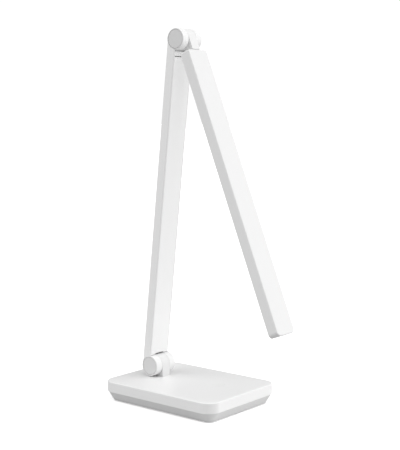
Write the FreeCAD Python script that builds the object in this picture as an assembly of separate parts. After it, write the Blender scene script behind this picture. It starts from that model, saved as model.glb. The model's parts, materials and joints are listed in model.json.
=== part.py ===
import FreeCAD, Part
import math
import os

# Folding desk lamp: a flat weighted base, a stem on a friction hinge at the back of the base,
# and a light head on a second friction hinge at the top of the stem.
# Millimetres. +Z up, -Y the front of the lamp, origin on the table under the middle of the base.

Vec = FreeCAD.Vector

# ---- driving dimensions: base ----
base_width = 120.0
base_depth = 160.0
base_height = 22.9
base_corner_radius = 15.0
base_wall = 2.0
top_edge_round = 1.5
skirt_height = 10.8
skirt_inset = 7.0
skirt_step = 0.5
lip_height = 2.5
lip_wall = 1.4
shell_clearance = 0.15

foot_height = 0.9
foot_sink = 1.0
foot_radius = 6.0
foot_inset = 6.0
front_foot_width = 16.0
front_foot_depth = 6.0
front_foot_inset = 0.8
centre_pad_side_inset = 28.0
centre_pad_end_inset = 38.0
centre_pad_corner = 10.0

base_screw_from_foot = 19.0
boss_radius = 4.0
base_screw_radius = 1.5
base_screw_head_radius = 2.9
base_screw_head_height = 2.0
base_screw_head_depth = 3.0
thread_clearance = 0.05
screw_clearance = 0.2

# ---- driving dimensions: inside the base ----
ballast_thickness = 5.0
ballast_side_gap = 3.0
ballast_end_gap = 5.0
ballast_peg_radius = 2.0
ballast_peg_inset = 6.0
retainer_radius = 4.5
retainer_thickness = 0.6

cell_thickness = 7.0
cell_gap = 3.0
cell_side_margin = 2.5
cell_to_retainer = 2.5
strap_depth = 12.0
strap_thickness = 2.0
strap_clearance = 0.3

board_width = 52.0
board_depth = 38.0
board_thickness = 1.6
board_rear_inset = 17.0
board_level = 6.0
board_post_radius = 3.0
board_post_inset = 4.0
board_screw_radius = 1.1
board_screw_head_radius = 2.0
board_screw_head_height = 1.2
board_screw_depth = 4.0
coil_radius = 4.0
coil_height = 3.5
capacitor_radius = 2.5
capacitor_height = 3.8
charger_chip_side = 6.0
driver_chip_side = 5.0
chip_height = 1.2
plug_width = 4.5
plug_depth = 7.0
plug_height = 3.2
part_gap = 4.0

socket_width = 9.0
socket_height = 3.2
socket_wall = 0.3
socket_depth = 8.8
socket_sink = 0.4
socket_back_wall = 1.5
socket_tongue_recess = 1.0
socket_tongue_width = 6.6
socket_tongue_thickness = 0.7
socket_board_width = 20.0
socket_board_depth = 12.0
socket_board_thickness = 1.2
socket_board_level = 10.4
socket_post_radius = 2.2
socket_post_spacing = 14.0

touch_x = 7.0
touch_front_inset = 43.0
touch_radius = 7.5
touch_thickness = 1.2
touch_rim = 0.6
touch_dish_depth = 0.35
touch_board_width = 28.0
touch_board_depth = 20.0
touch_board_thickness = 1.0

# ---- driving dimensions: hinges ----
hinge_rear_inset = 33.0
hinge_rise = 13.0
hinge_radius = 11.7
tongue_width = 12.5
tongue_gap = 0.35
fork_gap = 0.6
ear_face = 15.8
ear_chamfer = 0.6
ear_web = 3.6
shaft_radius = 3.0
running_clearance = 0.05
shaft_head_radius = 6.5
shaft_head_thickness = 2.0
washer_radius = 7.0
washer_thickness = 0.8
spring_washer_height = 1.0
nut_across_flats = 9.0
nut_thickness = 1.6
shaft_end_spare = 0.2
hub_well_radius = 8.8
cap_radius = 10.5
cap_thickness = 1.6
cap_chamfer = 0.3
cap_skirt_radius = 8.65
cap_skirt_wall = 0.8
cap_skirt_depth = 1.6

post_flange_width = 44.0
post_flange_depth = 34.0
post_flange_thickness = 3.0
post_pad_thickness = 2.4
post_pad_margin = 2.0
post_screw_spacing_x = 30.0
post_screw_spacing_y = 24.0
post_screw_radius = 1.5
post_screw_head_radius = 2.75
post_screw_head_height = 1.8
post_screw_depth = 3.2

# ---- driving dimensions: stem ----
stem_lean = 6.22
stem_length = 373.5
stem_width = 31.0
stem_set_back = 0.25
stem_front_round = 1.2
stem_rear_round = 1.6
stem_side_wall = 2.2
stem_rim_wall = 1.4
stem_rear_wall = 1.6
stem_lower_web = 16.0
cover_thickness = 2.4
cover_lower_gap = 1.5
cover_notch_width = 14.0
cover_notch_rise = 1.4
cover_clearance = 0.1
cover_rail_thickness = 1.2
cover_rail_depth = 3.0
cover_rail_margin = 30.0
neck_gap = 2.0
neck_band = 2.4
neck_sink = 0.5
neck_cover_gap = 1.8
neck_slot_depth = 5.0
stem_rib_count = 6
stem_rib_thickness = 1.4
stem_rib_height = 4.0
lead_radius = 1.3
lead_notch = 0.3

# ---- driving dimensions: head ----
head_swing = 22.2
head_length = 342.0
head_width = 31.0
head_thickness = 12.4
head_set_forward = 0.25
head_start = 17.8
head_end_radius = 5.5
head_start_radius = 1.5
head_edge_round = 1.2
head_wall = 1.5
head_side_wall = 2.0
head_rim_wall = 1.2
inner_cover_thickness = 2.2
knuckle_flat_end = 16.4
knuckle_neck_sink = 0.8
knuckle_neck_clearance = 0.15
knuckle_foot_width = 24.0
knuckle_foot_end = 52.0
knuckle_foot_thickness = 3.0
knuckle_foot_margin = 2.0
knuckle_screw_spacing_x = 16.0
knuckle_screw_at = 44.0
knuckle_screw_radius = 1.25
knuckle_screw_head_radius = 2.3
knuckle_screw_head_height = 1.5

led_board_width = 20.0
led_board_thickness = 1.2
led_board_gap = 4.0
led_board_margin = 10.0
led_rib_height = 1.5
led_rib_thickness = 1.5
led_rib_pitch = 44.0
led_size = 3.0
led_thickness = 0.7
led_pitch = 12.0
led_row_spacing = 11.0
diffuser_width = 21.4
diffuser_corner = 3.0
diffuser_lip = 0.8
diffuser_lip_thickness = 1.5
diffuser_sink = 0.1
diffuser_clearance = 0.1

# ---- levels and places that follow from the sizes above ----
underside = foot_height
skirt_top = underside + skirt_height
base_top = underside + base_height
floor_top = underside + base_wall
roof_under = base_top - base_wall
inner_width = base_width - 2 * base_wall
inner_depth = base_depth - 2 * base_wall
inner_corner = base_corner_radius - base_wall
under_width = base_width - 2 * skirt_inset
under_depth = base_depth - 2 * skirt_inset
under_corner = base_corner_radius - skirt_inset
rear_y = base_depth / 2
hinge_y = rear_y - hinge_rear_inset
hinge_z = base_top + hinge_rise
ear_inner = tongue_width / 2 + tongue_gap
well_floor = ear_inner + ear_web
cap_seat = ear_face - cap_thickness
pad_under = roof_under - post_pad_thickness
flange_under = pad_under - post_flange_thickness
ballast_top = floor_top + ballast_thickness
cell_top = ballast_top + cell_thickness
board_under = floor_top + board_level
board_top = board_under + board_thickness
socket_board_under = floor_top + socket_board_level
socket_board_top = socket_board_under + socket_board_thickness
socket_z = socket_board_top + socket_height / 2
touch_y = touch_front_inset - rear_y
head_outer = head_set_forward + head_thickness
foot_x = under_width / 2 - foot_inset - foot_radius
foot_y = under_depth / 2 - foot_inset - foot_radius
base_screw_y = foot_y - base_screw_from_foot
board_y = rear_y - board_rear_inset - board_depth / 2
ballast_front = ballast_end_gap + base_wall - under_depth / 2
ballast_rear = board_y - board_depth / 2 - ballast_end_gap
ballast_depth = ballast_rear - ballast_front
ballast_y = (ballast_front + ballast_rear) / 2
ballast_width = 2 * (foot_x - boss_radius - ballast_side_gap)
peg_spacing_x = ballast_width - 2 * ballast_peg_inset
peg_spacing_y = ballast_depth - 2 * ballast_peg_inset
cell_width = (ballast_width - cell_gap) / 2 - cell_side_margin
cell_depth = peg_spacing_y - 2 * (retainer_radius + cell_to_retainer)
cover_low = hinge_radius + cover_lower_gap
band_high = hinge_radius + neck_gap
band_low = band_high + neck_band
cover_high = band_low + neck_cover_gap
cover_back = stem_set_back + cover_thickness
channel_back = hinge_radius - stem_rear_wall
knuckle_foot_start = -head_start - head_side_wall - knuckle_foot_margin
neck_low = knuckle_foot_start - 2 * knuckle_foot_margin

reach = 40.0    # a cutting tool runs this far past the piece it opens


def block(x, y, z):
    """Box between two limits on each axis."""
    return Part.makeBox(x[1] - x[0], y[1] - y[0], z[1] - z[0], Vec(x[0], y[0], z[0]))


def both(limit):
    """Limits that lie the same distance each side of the middle."""
    return (-limit, limit)


def around(middle, span):
    return (middle - span / 2, middle + span / 2)


def rod_x(radius, x, y=0.0, z=0.0):
    return Part.makeCylinder(radius, x[1] - x[0], Vec(x[0], y, z), Vec(1, 0, 0))


def rod_z(radius, z, x=0.0, y=0.0):
    return Part.makeCylinder(radius, z[1] - z[0], Vec(x, y, z[0]), Vec(0, 0, 1))


def ring_x(outer, inner, x, z=0.0):
    return rod_x(outer, x, z=z).cut(rod_x(inner, (x[0] - 1, x[1] + 1), z=z))


def mirrored(shape):
    """The same piece on the other side of the middle plane."""
    return shape.mirror(Vec(0, 0, 0), Vec(1, 0, 0))


def pair(shape):
    return [shape, mirrored(shape)]


def tidy(shape):
    return shape.removeSplitter()


def rounded_outline(width, depth, radius, z):
    """Closed rounded rectangle at height z."""
    half_x, half_y = width / 2, depth / 2
    diagonal = radius * (1 - math.sqrt(0.5))
    arcs = []
    for side_x, side_y in ((1, 1), (-1, 1), (-1, -1), (1, -1)):
        ends = [
            Vec(side_x * half_x, side_y * (half_y - radius), z),
            Vec(side_x * (half_x - radius), side_y * half_y, z),
        ]
        if side_x * side_y < 0:
            ends.reverse()
        middle = Vec(side_x * (half_x - diagonal), side_y * (half_y - diagonal), z)
        arcs.append((ends, Part.Arc(ends[0], middle, ends[1]).toShape()))
    edges = []
    for number, (ends, arc) in enumerate(arcs):
        next_start = arcs[(number + 1) % 4][0][0]
        edges += [arc, Part.LineSegment(ends[1], next_start).toShape()]
    return Part.Wire(edges)


def slab(width, depth, radius, z, x=0.0, y=0.0):
    """Rounded rectangular plate."""
    face = Part.Face(rounded_outline(width, depth, radius, z[0]))
    plate = face.extrude(Vec(0, 0, z[1] - z[0]))
    plate.translate(Vec(x, y, 0))
    return plate


def tapered_slab(lower, upper, z):
    """Solid between two rounded rectangles, each given as width, depth and corner radius."""
    wires = [rounded_outline(*lower, z[0]), rounded_outline(*upper, z[1])]
    return Part.makeLoft(wires, True, True)


def edges_at(shape, test):
    return [edge for edge in shape.Edges if test(edge.BoundBox)]


def near(value, target):
    return abs(value - target) < 0.01


def corners(spacing_x, spacing_y):
    return [(sx * spacing_x / 2, sy * spacing_y / 2) for sx in (-1, 1) for sy in (-1, 1)]


# ---- base ----

def base_screw_places():
    return corners(2 * foot_x, 2 * base_screw_y)


def post_screw_places():
    return [(x, hinge_y + y) for x, y in corners(post_screw_spacing_x, post_screw_spacing_y)]


def board_screw_places():
    span_x = board_width - 2 * board_post_inset
    span_y = board_depth - 2 * board_post_inset
    return [(x, board_y + y) for x, y in corners(span_x, span_y)]


def ballast_peg_places():
    return [(x, ballast_y + y) for x, y in corners(peg_spacing_x, peg_spacing_y)]


def base_top_shell():
    shell = slab(base_width, base_depth, base_corner_radius, (skirt_top, base_top))
    rim = edges_at(shell, lambda box: near(box.ZMin, base_top))
    shell = shell.makeFillet(top_edge_round, rim)
    shell = shell.cut(slab(inner_width, inner_depth, inner_corner, (skirt_top - 1, roof_under)))
    pad = slab(post_flange_width + 2 * post_pad_margin, post_flange_depth + 2 * post_pad_margin,
               3 * post_pad_margin, (pad_under, roof_under), y=hinge_y)
    bosses = [rod_z(boss_radius, (skirt_top + shell_clearance, roof_under), x, y)
              for x, y in base_screw_places()]
    shell = shell.fuse([pad] + bosses)
    holes = [rod_z(base_screw_radius + thread_clearance, (skirt_top - 1, roof_under - 1), x, y)
             for x, y in base_screw_places()]
    holes += [rod_z(post_screw_radius + thread_clearance,
                    (pad_under - 1, pad_under + post_screw_depth), x, y)
              for x, y in post_screw_places()]
    post_slot_half = tongue_width / 2 + shell_clearance
    holes.append(block(both(post_slot_half), around(hinge_y, 2 * (hinge_radius + shell_clearance)),
                       (pad_under - 1, base_top + 1)))
    holes.append(rod_z(touch_radius + shell_clearance,
                       (base_top - touch_thickness, base_top + 1), touch_x, touch_y))
    holes.append(socket_outline(shell_clearance, (rear_y - base_wall - 1, rear_y + 1)))
    return tidy(shell.cut(holes))


def base_bottom_shell():
    top_loss = 2 * skirt_step
    lower = (under_width, under_depth, under_corner)
    upper = (base_width - top_loss, base_depth - top_loss, base_corner_radius - skirt_step)
    thin = 2 * base_wall
    inner_lower = (lower[0] - thin, lower[1] - thin, lower[2] - base_wall)
    inner_upper = (upper[0] - thin, upper[1] - thin, upper[2] - base_wall)
    shell = tapered_slab(lower, upper, (underside, skirt_top))
    shell = shell.cut(tapered_slab(inner_lower, inner_upper, (floor_top, skirt_top)))
    lip_outer = (inner_width - 2 * shell_clearance, inner_depth - 2 * shell_clearance,
                 inner_corner - shell_clearance)
    lip_low = skirt_top - base_wall
    lip = slab(*lip_outer, (lip_low, skirt_top + lip_height))
    lip = lip.cut(slab(lip_outer[0] - 2 * lip_wall, lip_outer[1] - 2 * lip_wall,
                       lip_outer[2] - lip_wall, (lip_low - 1, skirt_top + lip_height + 1)))
    socket_notch = block(both(socket_board_width / 2 + 1), (rear_y - 4 * base_wall, rear_y),
                         (skirt_top, skirt_top + lip_height + 1))
    posts = [rod_z(boss_radius, (underside, skirt_top), x, y) for x, y in base_screw_places()]
    posts += [rod_z(board_post_radius, (underside, board_under), x, y)
              for x, y in board_screw_places()]
    posts += [rod_z(ballast_peg_radius, (underside, ballast_top + retainer_thickness), x, y)
              for x, y in ballast_peg_places()]
    posts += [rod_z(socket_post_radius, (underside, socket_board_under), x, socket_post_y())
              for x in (-socket_post_spacing / 2, socket_post_spacing / 2)]
    shell = shell.fuse([lip.cut(socket_notch)] + posts)
    holes = []
    for x, y in base_screw_places():
        holes.append(rod_z(base_screw_head_radius + screw_clearance,
                           (underside - 1, underside + base_screw_head_depth), x, y))
        holes.append(rod_z(base_screw_radius + screw_clearance, (underside, skirt_top + 1), x, y))
    for x, y in board_screw_places():
        holes.append(rod_z(board_screw_radius + thread_clearance,
                           (board_under - board_screw_depth, board_under + 1), x, y))
    holes += foot_pockets()
    return tidy(shell.cut(holes))


def foot_shapes(spare):
    """Feet as sunk pads; spare widens them into their pockets."""
    z = (0, underside + foot_sink)
    pads = [rod_z(foot_radius + spare, z, x, y) for x, y in corners(2 * foot_x, 2 * foot_y)]
    front_y = -under_depth / 2 + front_foot_inset + front_foot_depth / 2
    front = slab(front_foot_width + 2 * spare, front_foot_depth + 2 * spare, 1.5, z, y=front_y)
    centre = slab(under_width - 2 * (centre_pad_side_inset - spare),
                  under_depth - 2 * (centre_pad_end_inset - spare), centre_pad_corner, z)
    return pads, front, centre


def foot_pockets():
    pads, front, centre = foot_shapes(shell_clearance)
    return pads + [front, centre]


def ballast_plate():
    plate = slab(ballast_width, ballast_depth, 3.0, (floor_top, ballast_top), y=ballast_y)
    holes = [rod_z(ballast_peg_radius + shell_clearance, (floor_top - 1, ballast_top + 1), x, y)
             for x, y in ballast_peg_places()]
    return plate.cut(holes)


def ballast_retainers():
    """Push-on spring rings on the pegs."""
    rings = []
    for x, y in ballast_peg_places():
        z = (ballast_top, ballast_top + retainer_thickness)
        ring = rod_z(retainer_radius, z, x, y)
        rings.append(ring.cut(rod_z(ballast_peg_radius + thread_clearance,
                                    (z[0] - 1, z[1] + 1), x, y)))
    return Part.makeCompound(rings)


def battery_cells():
    """Two flat cells side by side, each with rounded long edges."""
    middle = (cell_width + cell_gap) / 2
    cell = block(around(middle, cell_width), around(ballast_y, cell_depth),
                 (ballast_top, cell_top))
    long_edges = edges_at(cell, lambda box: box.YLength > cell_depth - 1)
    return Part.makeCompound(pair(cell.makeFillet(cell_thickness / 3, long_edges)))


def battery_strap():
    """Moulded bridge that holds the cells down, standing on the floor each side of the ballast."""
    inner = ballast_width / 2 + strap_clearance
    outer = inner + strap_thickness
    y = around(ballast_y, strap_depth)
    strap = block(both(outer), y, (floor_top, cell_top + strap_thickness))
    return strap.cut(block(both(inner), (y[0] - 1, y[1] + 1), (floor_top - 1, cell_top)))


def main_board():
    board = slab(board_width, board_depth, 2.0, (board_under, board_top), y=board_y)
    holes = [rod_z(board_screw_radius + screw_clearance, (board_under - 1, board_top + 1), x, y)
             for x, y in board_screw_places()]
    return board.cut(holes)


def board_parts():
    """Charger chip, driver chip, coil, capacitor and two wire connectors."""
    coil_x = part_gap + coil_radius
    rear_row = board_y + part_gap
    front_row = board_y - part_gap
    pieces = [
        rod_z(coil_radius, (board_top, board_top + coil_height), -coil_x, rear_row),
        rod_z(capacitor_radius, (board_top, board_top + capacitor_height), coil_x, rear_row)]
    for x, side in ((coil_x, charger_chip_side), (-coil_x, driver_chip_side)):
        pieces.append(block(around(x, side), around(front_row - side / 2, side),
                            (board_top, board_top + chip_height)))
    plug_middle = board_width / 2 - board_post_inset - plug_width / 2
    plug = block(around(plug_middle, plug_width), around(board_y, plug_depth),
                 (board_top, board_top + plug_height))
    return Part.makeCompound(pieces + pair(plug))


def headed_screw(head_radius, head_height, radius, length, x, y, z):
    """Flat-headed screw pointing up, its head below z."""
    head = rod_z(head_radius, (z - head_height, z), x, y)
    return tidy(head.fuse(rod_z(radius, (z - head_height, z + length), x, y)))


def board_screws():
    screws = []
    for x, y in board_screw_places():
        screw = headed_screw(board_screw_head_radius, board_screw_head_height,
                             board_screw_radius, board_thickness + board_screw_depth - 0.5,
                             x, y, 0.0)
        screw.rotate(Vec(x, y, 0), Vec(1, 0, 0), 180)
        screw.translate(Vec(0, 0, board_top))
        screws.append(screw)
    return Part.makeCompound(screws)


def base_screws():
    seat = underside + base_screw_head_depth
    length = roof_under - seat - 2.0
    return Part.makeCompound([
        headed_screw(base_screw_head_radius, base_screw_head_height, base_screw_radius,
                     length, x, y, seat) for x, y in base_screw_places()])


def socket_post_y():
    return rear_y - socket_sink - socket_board_depth + socket_post_radius


def socket_outline(spare, y):
    """Flat oval bar across the rear wall."""
    height = socket_height + 2 * spare
    half = socket_width / 2 + spare - height / 2
    middle = block(both(half), y, around(socket_z, height))
    ends = [Part.makeCylinder(height / 2, y[1] - y[0], Vec(x, y[0], socket_z), Vec(0, 1, 0))
            for x in both(half)]
    return tidy(middle.fuse(ends))


def charging_socket():
    mouth = rear_y - socket_sink
    back = mouth - socket_depth
    can = socket_outline(0.0, (back, mouth))
    inside = back + socket_back_wall
    can = can.cut(socket_outline(-socket_wall, (inside, mouth + 1)))
    tongue = block(both(socket_tongue_width / 2), (back, mouth - socket_tongue_recess),
                   around(socket_z, socket_tongue_thickness))
    return tidy(can.fuse(tongue))


def charging_board():
    y = (rear_y - socket_sink - socket_board_depth, rear_y - base_wall - 2 * shell_clearance)
    return block(both(socket_board_width / 2), y, (socket_board_under, socket_board_top))


def touch_key():
    """Round key with a shallow dish for the finger."""
    key = rod_z(touch_radius, (base_top - touch_thickness, base_top), touch_x, touch_y)
    dish_edge = touch_radius - touch_rim
    dish = Part.makeCone(dish_edge / 2, dish_edge, touch_dish_depth,
                         Vec(touch_x, touch_y, base_top - touch_dish_depth))
    return key.cut(dish)


def touch_board():
    return slab(touch_board_width, touch_board_depth, 1.5,
                (roof_under - touch_board_thickness, roof_under), touch_x, touch_y)


def eye_profile_block(flat_depth, low):
    """Tongue between the fork ears: round eye with a body of the same depth below it."""
    half = tongue_width / 2
    eye = rod_x(hinge_radius, both(half))
    return eye.fuse(block(both(half), (-hinge_radius, flat_depth), (low, 0)))


def hinge_post():
    post = eye_profile_block(hinge_radius, flange_under - hinge_z)
    post.translate(Vec(0, hinge_y, hinge_z))
    flange = slab(post_flange_width, post_flange_depth, 2 * post_pad_margin,
                  (flange_under, pad_under), y=hinge_y)
    post = post.fuse(flange)
    holes = [rod_x(shaft_radius + running_clearance, both(tongue_width), hinge_y, hinge_z)]
    holes += [rod_z(post_screw_radius + screw_clearance, (flange_under - 1, pad_under + 1), x, y)
              for x, y in post_screw_places()]
    return tidy(post.cut(holes))


def hinge_post_screws():
    length = post_flange_thickness + post_screw_depth - 0.3
    return Part.makeCompound([
        headed_screw(post_screw_head_radius, post_screw_head_height, post_screw_radius,
                     length, x, y, flange_under) for x, y in post_screw_places()])


# ---- stem: modelled upright with the lower hinge axis on X, front towards -Y ----

def ear_pair(z):
    """Two hinge barrels on one axis."""
    ear = rod_x(hinge_radius, (ear_inner, ear_face), z=z)
    rim = edges_at(ear, lambda box: near(box.XMin, ear_face) and near(box.XMax, ear_face))
    return pair(ear.makeChamfer(ear_chamfer, rim))


def ear_openings(z):
    """Fork gap, shaft bore, hardware wells and cap seats of one end."""
    openings = [rod_x(hinge_radius + fork_gap, both(ear_inner), z=z)]
    openings.append(rod_x(shaft_radius + running_clearance, both(reach), z=z))
    openings += pair(rod_x(hub_well_radius, (well_floor, reach), z=z))
    openings += pair(rod_x(cap_radius + shell_clearance, (cap_seat, reach), z=z))
    return openings


def stem_channel():
    half = stem_width / 2
    channel = block(both(half), (stem_set_back, hinge_radius), (0, stem_length))
    long_edges = edges_at(channel, lambda box: box.ZLength > stem_length - 1)
    front = [edge for edge in long_edges if near(edge.BoundBox.YMin, stem_set_back)]
    channel = channel.makeFillet(stem_front_round, front)
    rear = edges_at(channel, lambda box: box.ZLength > stem_length - 1
                    and near(box.YMin, hinge_radius) and near(abs(box.XMin), half))
    channel = channel.makeFillet(stem_rear_round, rear)
    channel = channel.fuse(ear_pair(0.0) + ear_pair(stem_length))
    top = stem_length
    rim = half - stem_rim_wall
    inside = half - stem_side_wall
    openings = ear_openings(0.0) + ear_openings(top)
    openings.append(block(both(rim), (-reach, cover_back), (cover_low, top - cover_high)))
    openings.append(block(both(rim), (0, cover_back), (hinge_radius, cover_low)))
    openings.append(block(both(inside), (-reach, channel_back),
                          (stem_lower_web, top - band_low)))
    openings.append(block(both(rim), (-reach, stem_set_back + neck_sink),
                          (top - cover_high, top - hinge_radius)))
    openings.append(block(both(rim), (0, neck_slot_depth), (top - band_high, top - hinge_radius)))
    channel = channel.cut(openings)
    return tidy(channel.fuse(stem_ribs()))


def stem_ribs():
    """Low cross ribs inside the channel, each notched for the lead."""
    inside = stem_width / 2 - stem_side_wall
    low = stem_lower_web
    pitch = (stem_length - band_low - low) / (stem_rib_count + 1)
    ribs = []
    for number in range(stem_rib_count):
        z = around(low + (number + 1) * pitch, stem_rib_thickness)
        rib = block(both(inside), (channel_back - stem_rib_height, channel_back), z)
        notch = block(both(lead_radius + lead_notch), (0, channel_back - lead_notch),
                      (z[0] - 1, z[1] + 1))
        ribs.append(rib.cut(notch))
    return ribs


def stem_front_cover():
    rim = stem_width / 2 - stem_rim_wall - cover_clearance
    z = (cover_low, stem_length - cover_high)
    cover = block(both(rim), (stem_set_back, cover_back), z)
    ends = edges_at(cover, lambda box: near(box.YMax, stem_set_back) and box.XLength > rim)
    cover = cover.makeFillet(0.4, ends)
    notch = block(both(cover_notch_width / 2), (0, reach), (0, cover_low + cover_notch_rise))
    inside = stem_width / 2 - stem_side_wall - cover_clearance
    rail = block((inside - cover_rail_thickness, inside), (cover_back, cover_back + cover_rail_depth),
                 (z[0] + cover_rail_margin, z[1] - cover_rail_margin))
    return tidy(cover.cut(notch).fuse(pair(rail)))


def stem_lead():
    """Two-core lead along the floor of the channel."""
    y = channel_back - lead_notch - lead_radius
    z = (stem_lower_web, stem_length - band_low)
    return Part.makeCylinder(lead_radius, z[1] - z[0], Vec(0, y, z[0]), Vec(0, 0, 1))


def hinge_shaft(z):
    """Flat-headed pivot through both ears, its thread end under the nut."""
    head = (-well_floor - shaft_head_thickness, -well_floor)
    thread_end = well_floor + washer_thickness + spring_washer_height + nut_thickness
    pin = rod_x(shaft_radius, (head[0], thread_end + shaft_end_spare), z=z)
    return tidy(rod_x(shaft_head_radius, head, z=z).fuse(pin))


def hinge_washers(z):
    """Flat friction washer and a dished spring washer on it."""
    bore = shaft_radius + thread_clearance
    flat = ring_x(washer_radius, bore, (well_floor, well_floor + washer_thickness), z)
    low = well_floor + washer_thickness
    high = low + spring_washer_height
    wall = 0.5 * spring_washer_height
    section = Part.makePolygon([
        Vec(low, washer_radius, 0), Vec(low + wall, washer_radius, 0),
        Vec(high, bore, 0), Vec(high - wall, bore, 0), Vec(low, washer_radius, 0)])
    dished = Part.Face(section).revolve(Vec(0, 0, 0), Vec(1, 0, 0), 360)
    dished.translate(Vec(0, 0, z))
    return Part.makeCompound([flat, dished])


def hinge_nut(z):
    low = well_floor + washer_thickness + spring_washer_height
    corner = nut_across_flats / math.sqrt(3)
    points = []
    for number in range(7):
        angle = math.radians(60 * number)
        points.append(Vec(low, corner * math.cos(angle), z + corner * math.sin(angle)))
    nut = Part.Face(Part.makePolygon(points)).extrude(Vec(nut_thickness, 0, 0))
    return nut.cut(rod_x(shaft_radius + thread_clearance, (low - 1, low + nut_thickness + 1), z=z))


def hinge_caps(z):
    """Snap-in end discs, each with a skirt that grips the well."""
    disc = rod_x(cap_radius, (cap_seat, ear_face), z=z)
    rim = edges_at(disc, lambda box: near(box.XMin, ear_face) and near(box.XMax, ear_face))
    disc = disc.makeChamfer(cap_chamfer, rim)
    skirt = ring_x(cap_skirt_radius, cap_skirt_radius - cap_skirt_wall,
                   (cap_seat - cap_skirt_depth, cap_seat), z)
    return Part.makeCompound(pair(tidy(disc.fuse(skirt))))


# ---- head: modelled hanging straight down from the upper hinge axis, outer face towards -Y ----

def head_outline(inset, y):
    """Plan outline of the head, drawn in the XZ plane and pushed through y."""
    half = head_width / 2 - inset
    far, near_end = -head_length + inset, -head_start - inset
    far_radius = head_end_radius - inset
    near_radius = max(head_start_radius - inset, 0.3)
    plate = block(both(half), y, (far, near_end))
    upright = [edge for edge in plate.Edges if edge.BoundBox.YLength > 0.9 * (y[1] - y[0])]
    far_edges = [edge for edge in upright if edge.BoundBox.ZMax < far + 1]
    plate = plate.makeFillet(far_radius, far_edges)
    near_edges = edges_at(plate, lambda box: near(box.ZMin, near_end) and near(box.ZMax, near_end)
                          and box.YLength > 0.9 * (y[1] - y[0]))
    return plate.makeFillet(near_radius, near_edges)


def head_ribs():
    """Cross ribs that carry the LED board off the outer wall."""
    inside = head_width / 2 - head_side_wall
    floor = -head_outer + head_wall
    z = led_board_limits()
    count = int((z[1] - z[0]) // led_rib_pitch)
    ribs = []
    for number in range(count + 1):
        middle = z[0] + led_rib_thickness + number * (z[1] - z[0] - 2 * led_rib_thickness) / count
        ribs.append(block(both(inside), (floor, floor + led_rib_height),
                          around(middle, led_rib_thickness)))
    return ribs


def neck_opening(spare):
    """Passage of the knuckle's neck through the end wall of the head."""
    neck = head_outer - head_wall - knuckle_neck_sink
    return block(both(tongue_width / 2 + spare), (-neck - spare, reach),
                 (-head_start - 2 * head_side_wall, reach))


def knuckle_screw_places():
    return [(x, -knuckle_screw_at) for x in both(knuckle_screw_spacing_x / 2)]


def head_shell():
    shell = head_outline(0.0, (-head_outer, -head_set_forward))
    outer_rim = edges_at(shell, lambda box: near(box.YMax, -head_outer))
    shell = shell.makeFillet(head_edge_round, outer_rim)
    floor = -head_outer + head_wall
    cavity = head_outline(head_side_wall, (floor, 1.0))
    seat = head_outline(head_rim_wall, (-head_set_forward - inner_cover_thickness, 1.0))
    shell = shell.cut([cavity, seat, neck_opening(knuckle_neck_clearance)])
    return tidy(shell.fuse(head_ribs()))


def diffuser_limits():
    board = led_board_limits()
    return (board[0] - 1.0, board[1] + 1.0)


def led_board_limits():
    start = -knuckle_foot_end - led_board_gap
    return (-head_length + led_board_margin, start)


def window_plate(width, spare, y):
    """Rounded window-shaped plate in the XZ plane."""
    z = diffuser_limits()
    half = width / 2 + spare
    plate = block(both(half), y, (z[0] - spare, z[1] + spare))
    upright = edges_at(plate, lambda box: box.XLength < 0.01 and box.ZLength < 0.01)
    return plate.makeFillet(diffuser_corner + spare, upright)


def head_inner_cover():
    """Frame round the light window."""
    back = -head_set_forward - inner_cover_thickness
    frame = head_outline(head_rim_wall + cover_clearance, (back, -head_set_forward))
    window = window_plate(diffuser_width, diffuser_clearance, (back - 1, 0.0))
    step = window_plate(diffuser_width, diffuser_lip + diffuser_clearance,
                        (back - 1, back + diffuser_lip_thickness))
    return tidy(frame.cut([window, step, neck_opening(knuckle_neck_clearance)]))


def diffuser():
    back = -head_set_forward - inner_cover_thickness
    lip = window_plate(diffuser_width, diffuser_lip, (back, back + diffuser_lip_thickness))
    face = window_plate(diffuser_width, 0.0, (back, -head_set_forward - diffuser_sink))
    return tidy(face.fuse(lip))


def led_board():
    y = -head_outer + head_wall + led_rib_height
    return block(both(led_board_width / 2), (y, y + led_board_thickness), led_board_limits())


def led_chips():
    y = -head_outer + head_wall + led_rib_height + led_board_thickness
    low, high = led_board_limits()
    count = int((high - low - led_size) // led_pitch)
    start = (low + high - (count - 1) * led_pitch) / 2
    chips = []
    for number in range(count):
        for x in both(led_row_spacing / 2):
            chips.append(block(around(x, led_size), (y, y + led_thickness),
                               around(start + number * led_pitch, led_size)))
    return Part.makeCompound(chips)


def head_knuckle():
    """Eye with a flat front that runs through the end wall to a screwed foot."""
    knuckle = eye_profile_block(-head_set_forward, -knuckle_flat_end)
    rear = -head_set_forward - inner_cover_thickness
    front = -head_outer + head_wall
    foot = block(both(knuckle_foot_width / 2), (front, front + knuckle_foot_thickness),
                 (-knuckle_foot_end, knuckle_foot_start))
    neck = block(both(tongue_width / 2), (front + knuckle_neck_sink, rear - knuckle_neck_clearance),
                 (neck_low, -knuckle_flat_end))
    knuckle = knuckle.fuse([neck, foot])
    holes = [rod_x(shaft_radius + running_clearance, both(tongue_width))]
    for x, z in knuckle_screw_places():
        holes.append(Part.makeCylinder(knuckle_screw_radius + screw_clearance, reach,
                                       Vec(x, -reach, z), Vec(0, 1, 0)))
    return tidy(knuckle.cut(holes))


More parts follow.
